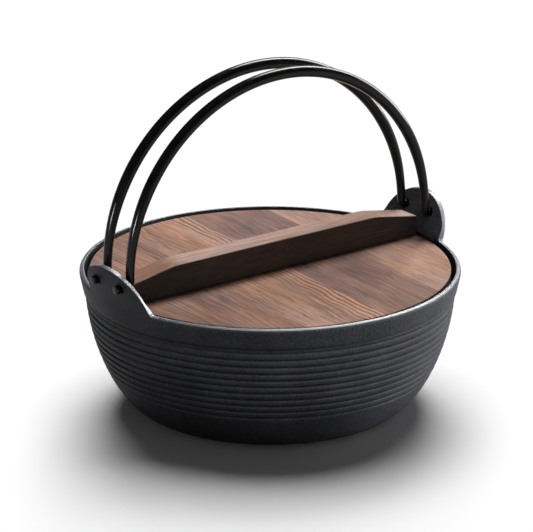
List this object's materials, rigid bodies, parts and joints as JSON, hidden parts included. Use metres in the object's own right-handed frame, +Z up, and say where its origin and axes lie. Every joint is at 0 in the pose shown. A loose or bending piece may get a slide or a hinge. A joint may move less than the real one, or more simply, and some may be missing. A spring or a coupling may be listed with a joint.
{
  "type": "sukiyaki pot",
  "caption": "Round ribbed cast-iron cooking pot with a flared rim, ears, swing bail handles and a boarded wooden drop-in lid with a grip bar.",
  "frame": {"origin": "centre of the flat base, on the surface that the pot stands on", "axes": "+Z up; +X through one ear, so the ears lie on X; -Y towards the front bail"},
  "size_m": [0.2774, 0.2598, 0.237],
  "materials": {
    "cast_body": "matte charcoal, fine sand-cast skin",
    "bail_rod": "satin black",
    "lid_wood": "toasted, matt, with open grain",
    "bar_wood": "toasted, matt, darker on its upright faces"
  },
  "bodies": {
    "pot": {"pot_body": "cast_body"},
    "front_bail": {"bail_front": "bail_rod"},
    "back_bail": {"bail_back": "bail_rod"},
    "lid": {"lid_board_1": "lid_wood", "lid_board_2": "lid_wood", "lid_board_3": "lid_wood", "lid_board_4": "lid_wood", "lid_board_5": "lid_wood", "lid_bar": "bar_wood"}
  },
  "joints": [
    {"name": "front_bail_swing", "type": "hinge", "parent": "pot", "child": "front_bail", "pos_m": [0, -0.0128, 0.1109], "axis": [1, 0, 0], "range_deg": [-3, 95]},
    {"name": "back_bail_swing", "type": "hinge", "parent": "pot", "child": "back_bail", "pos_m": [0, 0.0128, 0.1109], "axis": [-1, 0, 0], "range_deg": [-3, 93]},
    {"name": "lid_lift", "type": "slide", "parent": "pot", "child": "lid", "axis": [0, 0, 1], "range_m": [0, 0.016]}
  ]
}
